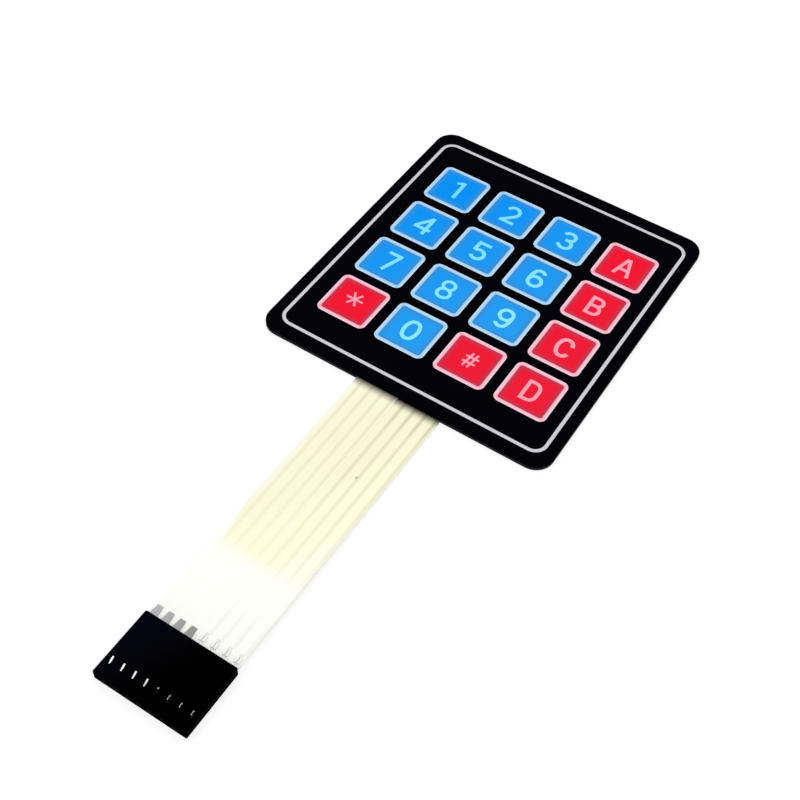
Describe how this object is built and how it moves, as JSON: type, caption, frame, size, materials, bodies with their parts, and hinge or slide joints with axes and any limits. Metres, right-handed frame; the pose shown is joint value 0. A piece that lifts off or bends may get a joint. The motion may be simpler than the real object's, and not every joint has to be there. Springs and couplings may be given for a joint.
{
  "type": "membrane keypad",
  "caption": "Flat membrane keypad with a square grid of printed keys, a flat film tail and a single-row plug.",
  "frame": {"origin": "centre of the pad's back face, on the release liner", "axes": "+Z out of the keys, +Y up the pad away from the tail, +X to the right as the keys are read"},
  "size_m": [0.0692, 0.158, 0.0025],
  "materials": {
    "liner_paper": "siliconed paper, smooth",
    "black_adhesive": "black adhesive film",
    "circuit_film": "milky polyester film",
    "silver_ink": "printed silver ink, matt",
    "carbon_ink": "printed carbon ink, matt",
    "spacer_film": "black double-sided spacer film",
    "overlay_film": "fine matt textured film",
    "blue_print": "screen print",
    "red_print": "screen print",
    "pale_blue_print": "screen print",
    "pale_pink_print": "screen print",
    "pale_grey_print": "screen print",
    "tail_coat": "printed insulating coat, satin",
    "housing_plastic": "moulded, satin black",
    "tinned_bronze": "stamped and tinned"
  },
  "bodies": {
    "root": {"release_liner": "liner_paper", "rear_adhesive": "black_adhesive", "lower_circuit_film": "circuit_film", "column_tracks": "silver_ink", "column_carbon_pads": "carbon_ink", "spacer": "spacer_film", "row_carbon_pads": "carbon_ink", "row_tracks": "silver_ink", "upper_circuit_film": "circuit_film", "overlay_adhesive": "black_adhesive", "graphic_overlay": "overlay_film", "digit_key_fields": "blue_print", "function_key_fields": "red_print", "digit_key_frames": "pale_blue_print", "function_key_frames": "pale_pink_print", "border_line": "pale_grey_print", "row_tail_cover": "tail_coat", "column_tail_cover": "tail_coat", "plug_housing": "housing_plastic", "terminal_row_1": "tinned_bronze", "terminal_row_2": "tinned_bronze", "terminal_row_3": "tinned_bronze", "terminal_row_4": "tinned_bronze", "terminal_column_1": "tinned_bronze", "terminal_column_2": "tinned_bronze", "terminal_column_3": "tinned_bronze", "terminal_column_4": "tinned_bronze"}
  },
  "joints": []
}
